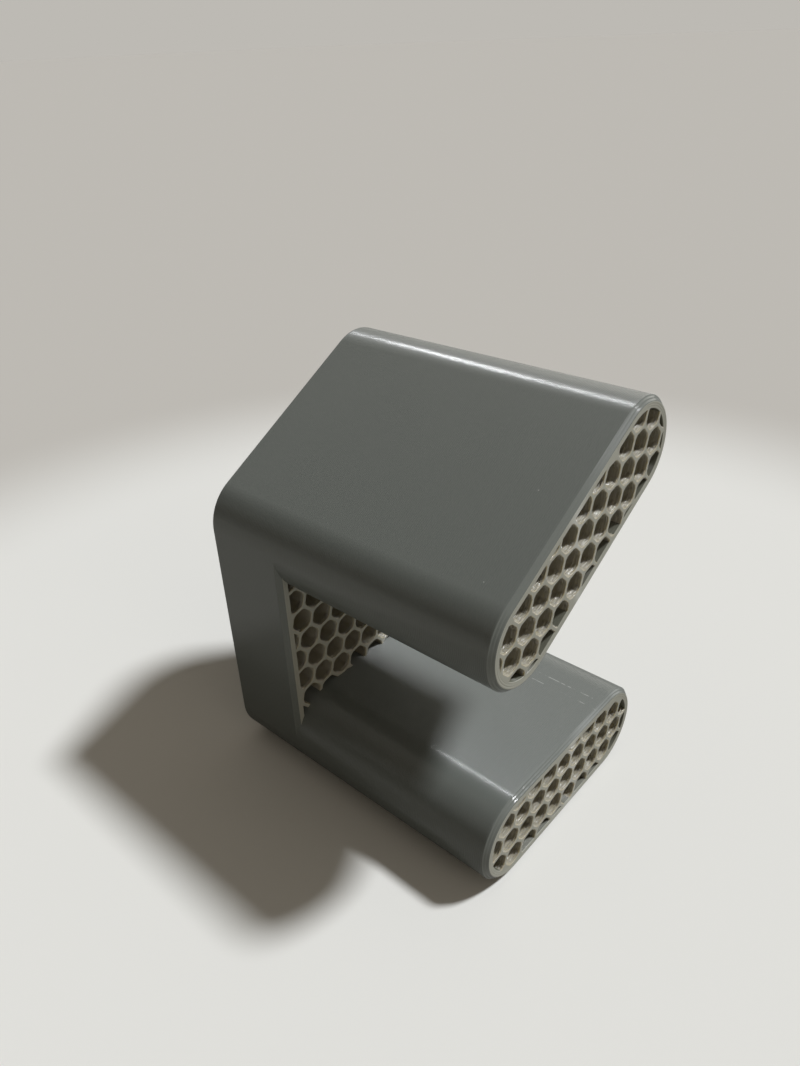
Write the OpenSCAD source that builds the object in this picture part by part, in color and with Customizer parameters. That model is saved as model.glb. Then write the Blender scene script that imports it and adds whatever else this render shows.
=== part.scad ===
// Display stand, printed in one piece.
// Two bars with rounded edges reach sideways out of a side plate: a flat one that
// is the foot, and a sloping one above it that is the seat.
// The print has a solid outer wall and an open honeycomb inside it.
// X runs along the bars, from the side plate to their free ends. Y runs from the
// front to the back. The origin is on the floor, in the middle of the footprint.

/* [Profile] */
// Radius of the rounded front and back edges, half the thickness of a bar
round_r = 10; // [8:0.5:12]
// Distance between the middles of the front rounds and the back rounds, on the level
rounds_apart = 34; // [24:1:44]
// Height of the middle of the upper front round above the floor
upper_front_h = 56.5; // [48:0.5:70]
// Slope of the upper bar, rising to the back, in degrees
slope = 30; // [0:1:40]

/* [Lengths] */
// Length of the bars, from the outer face of the side plate to their free ends
bar_l = 68.7; // [50:0.1:90]
// Thickness of the side plate
plate_t = 19.5; // [10:0.5:30]

/* [Shell] */
// Thickness of the solid outer wall
wall_t = 2.2; // [1.5:0.1:3]
// Thickness of the solid outer face of the side plate
face_t = 1; // [0.6:0.2:3]
// Chamfer round the edges of the flat faces
edge_c = 1; // [0.4:0.1:1.2]

/* [Honeycomb] */
// Distance between the middles of two neighbouring cells
cell_pitch = 5.41; // [4.5:0.01:8]
// Thickness of the wall between two cells
cell_wall = 0.7; // [0.4:0.1:1.2]
// Turn of the honeycomb's rows from the level, in degrees
cell_turn = 45; // [0:1:60]
// Distance of one cell's middle behind the middle of the stand
cell_y = 2.4; // [-3:0.1:3]
// Height of that cell's middle above the floor
cell_h = 38.2; // [36:0.1:43]
// Depth at which the outer wall must cut into a cell, or the cell is left out
least_cut = 0.5; // [0.4:0.1:1.5]

/* [Hidden] */
$fn = 96;
print_colour = "#6e746e";
// Each outline below is a list of the middles of its rounds, as seen from the free
// ends: first across from the middle of the stand to the back, then up from the floor.
half_apart = rounds_apart / 2;
upper_back_h = upper_front_h + rounds_apart * tan(slope);
lower_bar = [[-half_apart, round_r], [half_apart, round_r]];
upper_bar = [[-half_apart, upper_front_h], [half_apart, upper_back_h]];
side_plate = [lower_bar[0], lower_bar[1], upper_bar[1], upper_bar[0]];
// Radius of the inner face of the outer wall at the rounds
inner_r = round_r - wall_t;
// Width of a cell across its flat sides
cell_w = cell_pitch - cell_wall;
// Steps from a cell to its neighbours along the two directions of the rows
cell_step_a = cell_pitch * [cos(cell_turn), sin(cell_turn)];
cell_step_b = cell_pitch * [cos(cell_turn + 60), sin(cell_turn + 60)];
// How far the cells are cut past a flat face, to break through it
cut_past = 0.1;
// Number of steps that reaches across the whole profile from any cell in it
cell_steps = ceil((upper_back_h + round_r) / (cell_pitch * sin(60)));

// Each point of an outline with the next one, all the way round
function sides(points) = [for (i = [0:len(points) - 1]) [points[i], points[(i + 1) % len(points)]]];

// Distance from a point to the straight line between two others
function from_line(p, ends) =
    let (run = ends[1] - ends[0], share = (p - ends[0]) * run / (run * run))
    norm(p - ends[0] - max(0, min(1, share)) * run);

// Distance from a point to an outline of middles, 0 inside it
function from_outline(p, points) =
    len(points) > 2 && min([for (s = sides(points)) cross(s[1] - s[0], p - s[0])]) > 0
    ? 0
    : min([for (s = sides(points)) from_line(p, s)]);

// Direction from one point to another, in degrees
function heading(s) = atan2(s[1][1] - s[0][1], s[1][0] - s[0][0]);

// Turns a profile, drawn flat with its length upwards, so that its length lies along X
module along_x() {
    translate([-bar_l / 2, 0, 0]) rotate([90, 0, 90]) children();
}

// Bar with rounded edges round two middles, chamfered at both ends
module rounded_bar(s, length) {
    section = [
        [0, 0],
        [round_r - edge_c, 0],
        [round_r, edge_c],
        [round_r, length - edge_c],
        [round_r - edge_c, length],
        [0, length]
    ];
    for (p = s) translate(p) rotate_extrude() polygon(section);
    translate(s[0]) rotate([0, 0, heading(s)]) rotate([90, 0, 90]) linear_extrude(norm(s[1] - s[0])) {
        polygon(section);
        mirror([1, 0]) polygon(section);
    }
}

// Side plate: a bar along each side of its outline, and the middle filled in
module plate() {
    for (s = sides(side_plate)) rounded_bar(s, plate_t);
    linear_extrude(plate_t) polygon(side_plate);
}

// Inner face of the outer wall, as a flat outline
module inside_wall(points) {
    for (s = sides(points)) {
        translate(s[0]) circle(inner_r);
        translate(s[0]) rotate(heading(s)) translate([0, -inner_r]) square([norm(s[1] - s[0]), 2 * inner_r]);
    }
    if (len(points) > 2) polygon(points);
}

// Honeycomb cells inside an outline, the outer ones cut off by the wall
module cells(points) {
    intersection() {
        for (i = [-cell_steps:cell_steps], j = [-cell_steps:cell_steps]) {
            middle = [cell_y, cell_h] + i * cell_step_a + j * cell_step_b;
            if (from_outline(middle, points) < inner_r + cell_w / 2 - least_cut)
                translate(middle) rotate(cell_turn - 30) circle(cell_w / sqrt(3), $fn = 6);
        }
        inside_wall(points);
    }
}

module stand() {
    color(print_colour) along_x() difference() {
        union() {
            plate();
            rounded_bar(lower_bar, bar_l);
            rounded_bar(upper_bar, bar_l);
        }
        translate([0, 0, face_t]) {
            linear_extrude(plate_t - face_t + cut_past) cells(side_plate);
            linear_extrude(bar_l - face_t + cut_past) cells(lower_bar);
            linear_extrude(bar_l - face_t + cut_past) cells(upper_bar);
        }
    }
}

stand();
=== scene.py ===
import math
import random

import bpy
from mathutils import Matrix, Vector


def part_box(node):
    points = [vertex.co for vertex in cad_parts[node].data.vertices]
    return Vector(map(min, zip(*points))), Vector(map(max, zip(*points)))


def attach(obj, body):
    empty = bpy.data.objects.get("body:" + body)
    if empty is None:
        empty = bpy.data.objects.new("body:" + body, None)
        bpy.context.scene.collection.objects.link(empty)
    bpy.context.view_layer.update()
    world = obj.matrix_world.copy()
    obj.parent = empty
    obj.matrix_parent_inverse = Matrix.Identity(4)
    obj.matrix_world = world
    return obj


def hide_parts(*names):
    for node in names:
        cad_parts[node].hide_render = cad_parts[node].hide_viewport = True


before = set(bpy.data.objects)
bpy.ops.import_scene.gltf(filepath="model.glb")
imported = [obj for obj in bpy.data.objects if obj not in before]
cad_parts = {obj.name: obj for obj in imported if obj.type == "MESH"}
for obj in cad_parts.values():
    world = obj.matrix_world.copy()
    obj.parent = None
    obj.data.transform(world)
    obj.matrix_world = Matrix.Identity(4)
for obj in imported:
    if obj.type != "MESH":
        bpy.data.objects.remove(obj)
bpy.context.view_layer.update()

# Sizes of the print are in millimetres, from the frame's box and the few values that it can't give.
# The print stood on its closed side, so its layers stack along X.
MM = 0.001
low, high = (corner/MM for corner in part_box("stand"))
bed_x = low.x
end_x = high.x
# Radius of the rounded front and back edges, and slope of the upper bar
round_r = 10.0
slope = math.radians(30)
# Thickness of the side plate, of the outer wall and of the closed face
plate_t = 19.5
wall_t = 2.2
face_t = 1.0
# Chamfer round the flat faces
edge_c = 1.0
# Honeycomb: distance from cell to cell, thickness of the wall between two, and turn of the rows
cell_pitch = 5.41
cell_wall = 0.7
cell_turn = math.radians(45)
# Middle of one cell, back from the middle of the stand and up from the floor
anchor_cell = Vector((2.4, 38.2))
# A cell that reaches less than this far inside the outer wall is left out
least_cut = 0.5

plate_x = bed_x + plate_t
half_apart = high.y - round_r
upper_back_h = high.z - round_r
upper_front_h = upper_back_h - 2*half_apart*math.tan(slope)
inner_r = round_r - wall_t
cell_w = cell_pitch - cell_wall

# Directions that the walls of a cell face. The nozzle lays them in three directions
cell_sides = 6
wall_directions = 3
sixth_turn = 2*math.pi/cell_sides
cell_facings = [cell_turn + k*sixth_turn for k in range(cell_sides)]

# Outlines by the middles of their rounds, back from the middle of the stand and up from the floor
lower_front = Vector((-half_apart, round_r))
lower_back = Vector((half_apart, round_r))
upper_front = Vector((-half_apart, upper_front_h))
upper_back = Vector((half_apart, upper_back_h))
lower_bar = [lower_front, lower_back]
upper_bar = [upper_front, upper_back]
side_plate = [lower_front, lower_back, upper_back, upper_front]

# Filament: height of a layer, width of a line, where in its width a line is level, and depth of the groove
# between two lines
layer_h = 0.2
line_w = 0.4
level_from = 0.25
level_to = 0.8
groove = 0.04
# How a layer bulges out of a chamfer, in pairs of how far up the layer and how far out, both in layers
layer_nose = ((0.08, 0.0), (0.35, 0.05), (0.65, 0.045), (0.92, -0.015))
# Rounding of the cells' mouths, how far its middle lies inside its corner, and how far from the cells the
# lines on the rim end
lip = 0.12
lip_steps = 3
lip_middle = 0.3*lip
lines_end = 1.5*lip
# Cut at each corner of a cell, and the least and the most of it where a layer fills the corner unevenly
corner_cut = 0.45
filled_cut = (0.35, 0.75)
# How far a layer stands out of a cell's wall: where the nozzle passed twice, and where it passed once
twice_out = (0.04, 0.07)
once_out = (0.0, 0.03)
# Where a layer of a cell's wall is thickest and where it dips, down from its top in layers, and the dip
thick_down = 0.45
dip_down = 0.95
dip = 0.03
# Where a layer on the inner face dips and is thickest, up from its foot in layers, and how far it is out
dip_up = 0.1
thick_up = 0.55
wall_out = 0.035
# Layers that the walls show below the mouths of the cells, and seeds for the uneven ones
plate_layers = 4
bar_layers = 7
plate_seed = 3
lower_seed = 1
upper_seed = 2

# How far the cells run past the rim, and the hollow that trims them past the rim and the closed face
cells_past = 0.05
hollow_past = 1.0
# Step between the points of a round, and the bend below which the shading is smooth
arc_step = math.radians(3.75)
smooth_bend = math.radians(35)

# Marks on the outer walls: middle and half size of the two lines of scuffs on top of the lower bar, their
# dashes, and the specks on the slope
lower_top_h = 2*round_r
scuff_lines = (
    ((25.0, 14.15, lower_top_h), (6.6, 0.13, 0.3)),
    ((25.9, 11.6, lower_top_h), (7.8, 0.11, 0.3)),
)
dash_l = 1.1
dash_ends = {"From Min": 0.46, "From Max": 0.62}
speck_places = ((27.8, -20.25), (27.0, -4.34))
speck_r = 0.14

# The print's material slots, in the order of its materials
OUTER_WALLS, CELL_WALLS, TOP_LAYER, CLOSED_FACE, INNER_FACE = range(5)


def outline(centres):
    """The rounded outline round these centres, as (centre, direction) pairs in the plane of Y and Z."""
    pairs = []
    for i, centre in enumerate(centres):
        before = centre - centres[i - 1]
        after = centres[(i + 1) % len(centres)] - centre
        start = math.atan2(before.y, before.x) - math.pi/2
        turn = (math.atan2(after.y, after.x) - math.pi/2 - start) % (2*math.pi)
        steps = max(1, round(turn/arc_step))
        for k in range(steps + 1):
            angle = start + turn*k/steps
            pairs.append((centre, Vector((math.cos(angle), math.sin(angle)))))
    return pairs


def loft(rings, slots):
    """Points, faces and material slots of a closed solid through rings of equally many points.
    slots gives the slot of the first cap, of each band from ring to ring, and of the last cap."""
    count = len(rings[0])
    faces = [tuple(reversed(range(count)))]
    for r in range(len(rings) - 1):
        this = r*count
        above = this + count
        for i in range(count):
            after = (i + 1) % count
            faces.append((this + i, this + after, above + after, above + i))
    faces.append(tuple(range((len(rings) - 1)*count, len(rings)*count)))
    slot_of = [slots[0]] + [slot for slot in slots[1:-1] for i in range(count)] + [slots[-1]]
    return [point for ring in rings for point in ring], faces, slot_of


def solid(name, parts):
    """One object from closed solids that stay clear of each other."""
    points, faces, slots = [], [], []
    for part_points, part_faces, part_slots in parts:
        start = len(points)
        points += part_points
        faces += [tuple(start + i for i in face) for face in part_faces]
        slots += part_slots
    mesh = bpy.data.meshes.new(name)
    mesh.from_pydata(points, [], faces)
    for material in (outer_walls, cell_walls, top_layer, closed_face, inner_face):
        mesh.materials.append(material)
    mesh.polygons.foreach_set("material_index", slots)
    mesh.update()
    made = bpy.data.objects.new(name, mesh)
    bpy.context.scene.collection.objects.link(made)
    return made


def joined(first, second, operation):
    """first with second added, cut away or kept in common, as one closed solid."""
    join = first.modifiers.new("join", "BOOLEAN")
    join.operation = operation
    join.solver = "MANIFOLD"
    join.object = second
    shape = bpy.data.meshes.new_from_object(first.evaluated_get(bpy.context.evaluated_depsgraph_get()))
    first.modifiers.remove(join)
    first.data = shape
    bpy.data.objects.remove(second)
    return first


def swept(centres, stations, slots):
    """A solid with one outline ring for each (x, inset) station, set in from the skin by the inset."""
    pairs = outline(centres)
    rings = []
    for x, inset in stations:
        rings.append([Vector((x, *(centre + (round_r - inset)*out))) for centre, out in pairs])
    return loft(rings, slots)


def stepped_edge(x, out):
    """Stations of a chamfer as its layers leave it, from the skin to the face at x.
    out is 1 towards +X and -1 towards -X."""
    steps = math.ceil(edge_c/layer_h)
    rise = edge_c/steps
    stations = [(x - out*(edge_c + layer_h), 0)]
    for k in range(steps):
        foot = x - out*(edge_c - k*rise)
        stations += [(foot + out*up*rise, (k + up - bulge)*rise) for up, bulge in layer_nose]
    return stations


def rim_lines(x, inset):
    """Stations of the lines of filament side by side on a rim, from its outer edge to the honeycomb."""
    stations = []
    for k in range(int((wall_t - edge_c - lip)/line_w)):
        stations.append((x, inset + (k + level_from)*line_w))
        stations.append((x, inset + (k + level_to)*line_w))
        stations.append((x - groove, inset + (k + 1)*line_w))
    return stations + [(x, wall_t - lines_end)]


def printed_outline(name, centres, x):
    """A solid of this outline from the bed to the rim at x, with its layered edges."""
    bed_edge = stepped_edge(bed_x, -1)[::-1]
    # The first layer lies flat on the bed
    bed_edge[0] = (bed_x, bed_edge[0][1])
    sides = bed_edge + stepped_edge(x, 1)
    rim = rim_lines(x, edge_c)
    slots = [CLOSED_FACE] + [OUTER_WALLS]*(len(sides) - 1) + [TOP_LAYER]*(len(rim) + 1)
    return solid(name, [swept(centres, sides + rim, slots)])


def from_outline(point, centres):
    """Distance of a point from the line between two centres, or from the area inside four."""
    gap = math.inf
    inside = len(centres) > 2
    for start, end in zip(centres, centres[1:] + centres[:1]):
        along = end - start
        share = min(1, max(0, (point - start).dot(along)/along.length_squared))
        gap = min(gap, (point - start - share*along).length)
        inside = inside and along.cross(point - start) >= 0
    return 0 if inside else gap


def cell_middles(centres):
    """The honeycomb's cells that lie in the outline, from one lattice for the whole print."""
    step_a = cell_pitch*Vector((math.cos(cell_turn), math.sin(cell_turn)))
    step_b = cell_pitch*Vector((math.cos(cell_turn + sixth_turn), math.sin(cell_turn + sixth_turn)))
    reach = math.ceil(high.z/(cell_pitch*math.sin(sixth_turn)))
    steps = range(-reach, reach + 1)
    lattice = [anchor_cell + i*step_a + j*step_b for i in steps for j in steps]
    return [middle for middle in lattice if from_outline(middle, centres) < inner_r + cell_w/2 - least_cut]


def cell_ring(middle, x, wider, cuts=(corner_cut,)*cell_sides):
    """A hexagon with cut corners at x. wider moves each of its walls outwards."""
    walls = [(Vector((math.cos(a), math.sin(a))), cell_w/2 + more) for a, more in zip(cell_facings, wider)]
    corners = []
    for (this, away), (following, far) in zip(walls, walls[1:] + walls[:1]):
        meeting = Vector((away*following.y - far*this.y, far*this.x - away*following.x))
        corners.append(meeting/this.cross(following))
    ring = []
    for k, corner in enumerate(corners):
        for other in (corners[k - 1], corners[(k + 1) % len(corners)]):
            ring.append(Vector((x, *(middle + corner + cuts[k]*(other - corner).normalized()))))
    return ring


def cell_void(middle, x, layers, draw):
    """The space in one cell: a rounded lip at x, the layers that its walls show, then straight down to the
    closed face."""
    rings = [cell_ring(middle, x + cells_past, [lip]*cell_sides)]
    for k in range(lip_steps, -1, -1):
        angle = k*math.pi/2/lip_steps
        wider = [lip*(1 - math.cos(angle))]*cell_sides
        rings.append(cell_ring(middle, x - lip + lip*math.sin(angle), wider))
    for k in range(layers):
        # Each pass of the nozzle doubles one of the directions, so every third layer of a wall stands proud
        outs = [twice_out if (k + w) % wall_directions == 0 else once_out for w in range(cell_sides)]
        proud = [-draw.uniform(*out) for out in outs]
        cuts = [draw.uniform(*filled_cut) for w in range(cell_sides)]
        top = x - lip - k*layer_h
        rings.append(cell_ring(middle, top - thick_down*layer_h, proud, cuts))
        rings.append(cell_ring(middle, top - dip_down*layer_h, [dip]*cell_sides))
    rings.append(cell_ring(middle, bed_x + face_t, [0]*cell_sides))
    return loft(rings[::-1], [CELL_WALLS]*(len(rings) + 1))


def honeycomb_void(centres, x, layers, seed):
    """All the cells of one outline, cut off at the inner face of its walls, which shows its layers too."""
    draw = random.Random(seed)
    cells = solid("cells", [cell_void(middle, x, layers, draw) for middle in cell_middles(centres)])
    foot = x - lip - layers*layer_h
    inside = [(bed_x + face_t - hollow_past, wall_t), (foot, wall_t)]
    for k in range(layers):
        inside.append((foot + (k + dip_up)*layer_h, wall_t))
        inside.append((foot + (k + thick_up)*layer_h, wall_t + wall_out))
    mouth = [
        (x - lip, wall_t),
        (x - lip_middle, wall_t - lip_middle),
        (x, wall_t - lip),
        (x + hollow_past, wall_t - lip),
    ]
    slots = [INNER_FACE]*(len(inside) + 1) + [TOP_LAYER]*len(mouth)
    return joined(cells, solid("hollow", [swept(centres, inside + mouth, slots)]), "INTERSECT")


def printed_stand():
    """The whole print: the side plate with its cells, then both bars, whose cells run on through it."""
    body = printed_outline("stand_print", side_plate, plate_x)
    body = joined(body, honeycomb_void(side_plate, plate_x, plate_layers, plate_seed), "DIFFERENCE")
    for bar in (lower_bar, upper_bar):
        body = joined(body, printed_outline("bar", bar, end_x), "UNION")
    for bar, seed in ((lower_bar, lower_seed), (upper_bar, upper_seed)):
        body = joined(body, honeycomb_void(bar, end_x, bar_layers, seed), "DIFFERENCE")
    body.data.transform(Matrix.Scale(MM, 4))
    body.data.shade_smooth()
    bpy.context.view_layer.objects.active = body
    body.select_set(True)
    bpy.ops.object.shade_smooth_by_angle(angle=smooth_bend)
    # The flat faces stay flat up to the start of each round
    flatten = body.modifiers.new("flatten", "WEIGHTED_NORMAL")
    flatten.keep_sharp = True
    bpy.ops.object.modifier_apply(modifier=flatten.name)
    return body


def linear(hexa):
    """An sRGB hex colour as the linear colour that a shader takes."""
    parts = [int(hexa[i:i + 2], 16)/255 for i in (1, 3, 5)]
    return (*[c/12.92 if c <= 0.04045 else ((c + 0.055)/1.055)**2.4 for c in parts], 1)


def add(tree, kind, links=None, inputs=None, **settings):
    """A node of this kind with its settings, its inputs' values and the outputs that are linked to it."""
    node = tree.nodes.new(kind)
    for key, value in settings.items():
        setattr(node, key, value)
    for key, value in (inputs or {}).items():
        node.inputs[key].default_value = value
    for key, output in (links or {}).items():
        tree.links.new(output, node.inputs[key])
    return node


def fresh_material(name):
    """A new material and its empty node tree."""
    material = bpy.data.materials.new(name)
    material.use_nodes = True
    material.node_tree.nodes.clear()
    return material, material.node_tree


def on_slope(x, y):
    """The point at this x and y on top of the upper bar's slope."""
    return Vector((x, y, upper_front_h + (y + half_apart)*math.tan(slope) + round_r/math.cos(slope)))


def pale_marks(tree, place):
    """The faint broken scuffs along the top of the lower bar and the specks on the slope, from 0 to 1."""
    at = add(tree, "ShaderNodeSeparateXYZ", {0: place})
    broken = add(tree, "ShaderNodeTexNoise", {"Vector": place}, {"Scale": 1/(dash_l*MM), "Detail": 0.0})
    dashes = add(tree, "ShaderNodeMapRange", {"Value": broken.outputs["Fac"]}, dash_ends)
    marks = []
    for middle, half_size in scuff_lines:
        scuff = dashes
        for axis, (centre, half) in enumerate(zip(middle, half_size)):
            near = add(tree, "ShaderNodeMath", {0: at.outputs[axis]}, {1: centre*MM, 2: half*MM},
                       operation="COMPARE")
            scuff = add(tree, "ShaderNodeMath", {0: scuff.outputs[0], 1: near.outputs[0]},
                        operation="MULTIPLY")
        marks.append(scuff)
    for speck in speck_places:
        away = add(tree, "ShaderNodeVectorMath", {0: place}, {1: on_slope(*speck)*MM}, operation="DISTANCE")
        marks.append(add(tree, "ShaderNodeMath", {0: away.outputs["Value"]}, {1: speck_r*MM},
                         operation="LESS_THAN"))
    shown = marks[0]
    for mark in marks[1:]:
        shown = add(tree, "ShaderNodeMath", {0: shown.outputs[0], 1: mark.outputs[0]}, operation="MAXIMUM")
    return shown.outputs[0]


# What all of the print's plastic shares, in millimetres. Clouds of a slightly darker tint
cloud_w = 18.0
# Colour of the pale marks, and how much of it shows
mark_colour = "#c9cbc6"
mark_share = 0.35
# A line for each layer, drawn twice as coarse as the layers are so that it shows: its relief in the plastic
# and the sharper one in its gloss
drawn_line = 2*layer_h
plastic_relief = 0.01
gloss_relief = 0.11
# Blender's wave texture turns this many radians where its scale is 1
wave_radians = 20
pla_ior = 1.46
gloss_roughness = 0.16
# The lines comb the sheen across themselves, a quarter turn from the tangent round X
across = 0.25
# How deep light goes into a thin wall, and the red, green and blue that it has left
glow_depth = 0.8
glow_tint = (1.0, 0.95, 0.7)


def printed_pla(name, base, shade, roughness, gloss, marked=False, along="X", turn=0, glow=0, combed=1.0):
    """PLA filament laid in lines that stack along an axis, turned about X. gloss is the bright edge on the
    lines, glow the light that comes through, and combed how far the lines draw out the sheen."""
    material, tree = fresh_material(name)
    place = add(tree, "ShaderNodeTexCoord").outputs["Object"]
    cloud = add(tree, "ShaderNodeTexNoise", {"Vector": place}, {"Scale": 1/(cloud_w*MM), "Detail": 3.0})
    tint = add(tree, "ShaderNodeMix", {"Factor": cloud.outputs["Fac"]}, data_type="RGBA")
    tint.inputs["A"].default_value = linear(shade)
    tint.inputs["B"].default_value = linear(base)
    if marked:
        faint = add(tree, "ShaderNodeMath", {0: pale_marks(tree, place)}, {1: mark_share},
                    operation="MULTIPLY")
        tint = add(tree, "ShaderNodeMix", {"Factor": faint.outputs[0], "A": tint.outputs["Result"]},
                   data_type="RGBA")
        tint.inputs["B"].default_value = linear(mark_colour)
    turned = add(tree, "ShaderNodeMapping", {"Vector": place}, {"Rotation": (turn, 0, 0)})
    lines = add(tree, "ShaderNodeTexWave", {"Vector": turned.outputs[0]}, {
        "Scale": 2*math.pi/(wave_radians*drawn_line*MM),
        "Distortion": 0.4,
        "Detail": 1.0,
        "Detail Scale": 1.0,
    }, bands_direction=along)
    soft = add(tree, "ShaderNodeBump", {"Height": lines.outputs["Fac"]}, {
        "Strength": 1.0,
        "Distance": plastic_relief*MM,
    })
    sharp = add(tree, "ShaderNodeBump", {"Height": lines.outputs["Fac"]}, {
        "Strength": 1.0,
        "Distance": gloss_relief*MM,
    })
    around = add(tree, "ShaderNodeTangent", direction_type="RADIAL", axis="X")
    surface = add(tree, "ShaderNodeBsdfPrincipled", {
        "Base Color": tint.outputs["Result"],
        "Normal": soft.outputs[0],
        "Tangent": around.outputs[0],
        "Coat Normal": sharp.outputs[0],
    }, {
        "Roughness": roughness,
        "IOR": pla_ior,
        "Anisotropic": combed,
        "Anisotropic Rotation": across,
        "Coat Weight": gloss,
        "Coat Roughness": gloss_roughness,
        "Subsurface Weight": glow,
        "Subsurface Scale": glow_depth*MM,
        "Subsurface Radius": glow_tint,
    })
    add(tree, "ShaderNodeOutputMaterial", {"Surface": surface.outputs[0]})
    return material


# The studio, in metres from the middle of the stand: half the side of the floor, and where its colour
# begins to turn and has turned
floor_half = 20.0
sweep = {"From Min": 0.15, "From Max": 0.24}
floor_colour = "#e7e7e3"
sweep_colour = "#c3c0ba"
# What the floor throws back on the print
floor_bounce = "#a3a29d"


def studio_floor():
    """A plain pale floor that turns to the backdrop's grey some way off the stand."""
    material, tree = fresh_material("matt_studio_sweep")
    place = add(tree, "ShaderNodeTexCoord").outputs["Object"]
    far = add(tree, "ShaderNodeVectorMath", {0: place}, operation="LENGTH")
    turned = add(tree, "ShaderNodeMapRange", {"Value": far.outputs["Value"]}, sweep,
                 interpolation_type="SMOOTHSTEP")
    shown = add(tree, "ShaderNodeMix", {"Factor": turned.outputs[0]}, data_type="RGBA")
    shown.inputs["A"].default_value = linear(floor_colour)
    shown.inputs["B"].default_value = linear(sweep_colour)
    path = add(tree, "ShaderNodeLightPath")
    tone = add(tree, "ShaderNodeMix", {
        "Factor": path.outputs["Is Camera Ray"],
        "B": shown.outputs["Result"],
    }, data_type="RGBA")
    tone.inputs["A"].default_value = linear(floor_bounce)
    surface = add(tree, "ShaderNodeBsdfDiffuse", {"Color": tone.outputs["Result"]})
    add(tree, "ShaderNodeOutputMaterial", {"Surface": surface.outputs[0]})
    corners = [(x*floor_half, y*floor_half, 0) for x, y in ((-1, -1), (1, -1), (1, 1), (-1, 1))]
    mesh = bpy.data.meshes.new("floor")
    mesh.from_pydata(corners, [], [range(len(corners))])
    mesh.materials.append(material)
    floor = bpy.data.objects.new("floor", mesh)
    bpy.context.scene.collection.objects.link(floor)


def lamp(name, towards, spread, strength, colour):
    """A far soft light from the direction towards, which looks as wide as spread degrees from the stand.
    A white face turned to it is white at strength 1."""
    data = bpy.data.lights.new(name, "SUN")
    data.angle = math.radians(spread)
    data.energy = strength*math.pi
    data.color = linear(colour)[:3]
    light = bpy.data.objects.new(name, data)
    light.rotation_euler = Vector(towards).to_track_quat("Z", "Y").to_euler()
    bpy.context.scene.collection.objects.link(light)


# The room that the print mirrors, by how far a direction points back, up or to the right, from -1 to 1
room_back = {"From Min": -0.4, "From Max": 0.4}
room_window = {"From Min": 0.5, "From Max": 0.9, "To Max": 1.3}
room_ceiling = {"From Min": 0.7, "From Max": 1.0, "To Max": 0.8}
room_left = {"From Min": -0.9, "From Max": -0.3, "To Min": 0.6, "To Max": 1.3}
room_right = {"From Min": 0.1, "From Max": 0.7, "To Min": 1.0, "To Max": 0.3}
backdrop_grey = "#bdbab4"
fill_colour = "#fff0da"
fill_strength = 0.08


def backdrop():
    """A plain grey behind the stand for the camera, a room for the print to mirror, which is dim in front,
    and a weak warm fill."""
    world = bpy.data.worlds.new("studio")
    bpy.context.scene.world = world
    world.use_nodes = True
    tree = world.node_tree
    tree.nodes.clear()
    path = add(tree, "ShaderNodeLightPath")
    towards = add(tree, "ShaderNodeSeparateXYZ", {0: add(tree, "ShaderNodeTexCoord").outputs["Generated"]})
    glows = []
    for axis, span in (("Y", room_back), ("Y", room_window), ("Z", room_ceiling)):
        glows.append(add(tree, "ShaderNodeMapRange", {"Value": towards.outputs[axis]}, span,
                         interpolation_type="SMOOTHSTEP"))
    mirrored = glows[0]
    for glow in glows[1:]:
        mirrored = add(tree, "ShaderNodeMath", {0: mirrored.outputs[0], 1: glow.outputs[0]},
                       operation="ADD")
    for span in (room_left, room_right):
        dimmed = add(tree, "ShaderNodeMapRange", {"Value": towards.outputs["X"]}, span)
        mirrored = add(tree, "ShaderNodeMath", {0: mirrored.outputs[0], 1: dimmed.outputs[0]},
                       operation="MULTIPLY")
    lit = add(tree, "ShaderNodeMix", {
        "Factor": path.outputs["Is Camera Ray"],
        "A": mirrored.outputs[0],
    }, {"B": 1.0})
    grey = add(tree, "ShaderNodeBackground", {"Strength": lit.outputs[0]}, {"Color": linear(backdrop_grey)})
    fill = add(tree, "ShaderNodeBackground", inputs={
        "Color": linear(fill_colour),
        "Strength": fill_strength,
    })
    direct = add(tree, "ShaderNodeMath", {
        0: path.outputs["Is Camera Ray"],
        1: path.outputs["Is Glossy Ray"],
    }, operation="MAXIMUM")
    mix = add(tree, "ShaderNodeMixShader", {0: direct.outputs[0], 1: fill.outputs[0], 2: grey.outputs[0]})
    add(tree, "ShaderNodeOutputWorld", {"Surface": mix.outputs[0]})


# The photograph's view: the pinhole that fits the print's edges in a picture this many pixels wide
picture_w = 800
focal_px = 827.49
camera_place = Vector((90.0, -107.51, 139.38))
camera_right = Vector((0.7534, 0.6566, -0.0355))
camera_ahead = Vector((-0.5774, 0.6347, -0.5136))
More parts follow.
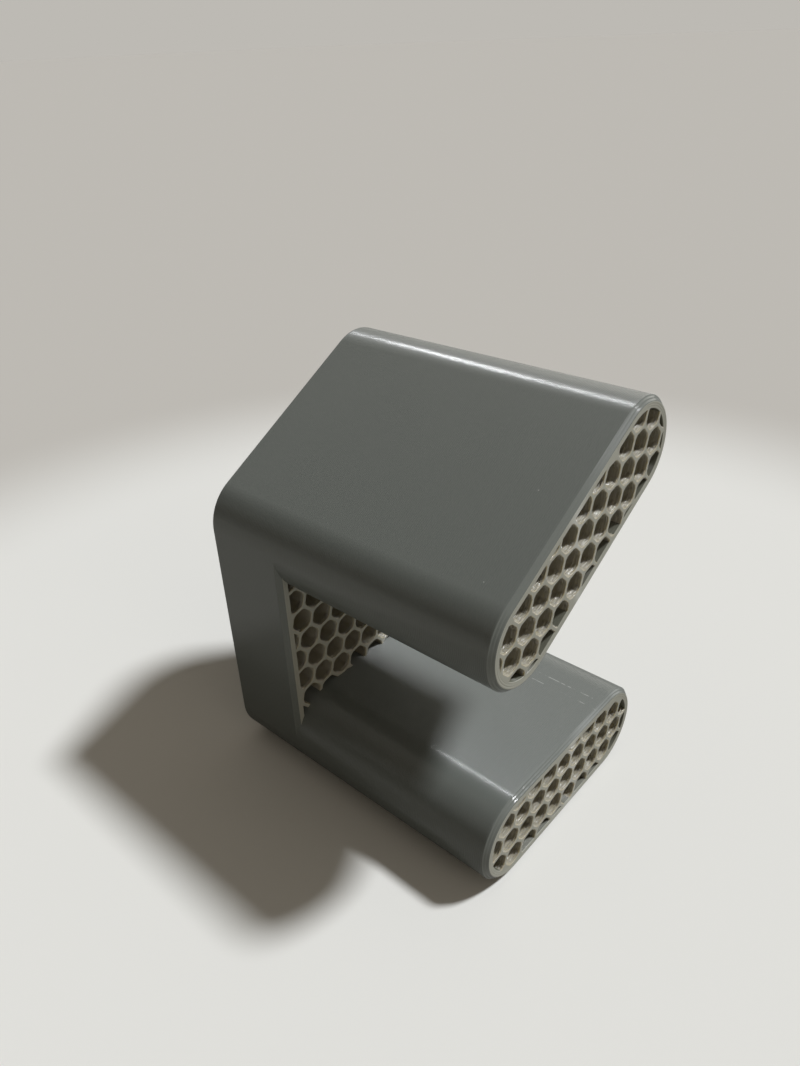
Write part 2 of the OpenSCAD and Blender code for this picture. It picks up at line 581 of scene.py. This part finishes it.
# Nearest and furthest that it sees, in metres
nearest = 0.005
furthest = 100.0


def camera():
    """The camera of that view."""
    data = bpy.data.cameras.new("camera")
    data.sensor_fit = "HORIZONTAL"
    data.lens = data.sensor_width*focal_px/picture_w
    data.clip_start = nearest
    data.clip_end = furthest
    right = camera_right.normalized()
    ahead = camera_ahead.normalized()
    turn = Matrix((right, right.cross(ahead), -ahead)).transposed().to_4x4()
    made = bpy.data.objects.new("camera", data)
    made.matrix_world = Matrix.Translation(camera_place*MM) @ turn
    bpy.context.scene.collection.objects.link(made)
    bpy.context.scene.camera = made


# Satin grey PLA, printed. Fine lines draw its sheen out into soft bands along the rounds, with thin bright
# streaks from their edges
outer_walls = printed_pla("printed_pla_outer_walls", "#6b706c", "#686d69", roughness=0.58, gloss=0.75,
                          marked=True)
# The same grey PLA one or two lines thick. Its paler, warmer colour is painted light, standing in for the
# light that comes through the thin walls and bounces between the cells; the glow lets real light through
# too, and their uneven layers sparkle
cell_walls = printed_pla("printed_pla_cell_walls_painted_light", "#aaa594", "#a39e8d", roughness=0.5, gloss=0.6, glow=1.0)
# The last layer of the print, drawn over by the nozzle: almost without gloss, and paler than the sides,
# partly from its own matt lines and partly as painted light that stands in for the light on the end faces
top_layer = printed_pla("printed_pla_top_layer_painted_light", "#a2a399", "#9c9d93", roughness=0.6, gloss=0.2)
# The first layer, pressed on the bed: smooth and even, with faint slanting lines
closed_face = printed_pla("printed_pla_closed_face", "#6a6f6b", "#676c68", roughness=0.45, gloss=0.4,
                          along="Z", turn=math.radians(45), combed=0.0)
# The outer wall from inside: thick, so as dark as the outside; its warm tint is painted light, standing in
# for light bounced off the pale cells round it
inner_face = printed_pla("printed_pla_inner_face_painted_bounce", "#68695e", "#64655a", roughness=0.55, gloss=0.4)

stand = printed_stand()
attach(stand, "root")
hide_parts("stand")

studio_floor()
lamp("key", towards=(0.37, 0.45, 0.81), spread=7.5, strength=0.97, colour="#fafcff")
lamp("overhead", towards=(0.0, 0.2, 1.0), spread=100, strength=0.07, colour="#fff6e8")
lamp("side", towards=(1.0, -0.15, 0.1), spread=60, strength=0.2, colour="#fff0dc")
backdrop()
camera()
bpy.context.scene.view_settings.view_transform = "Standard"
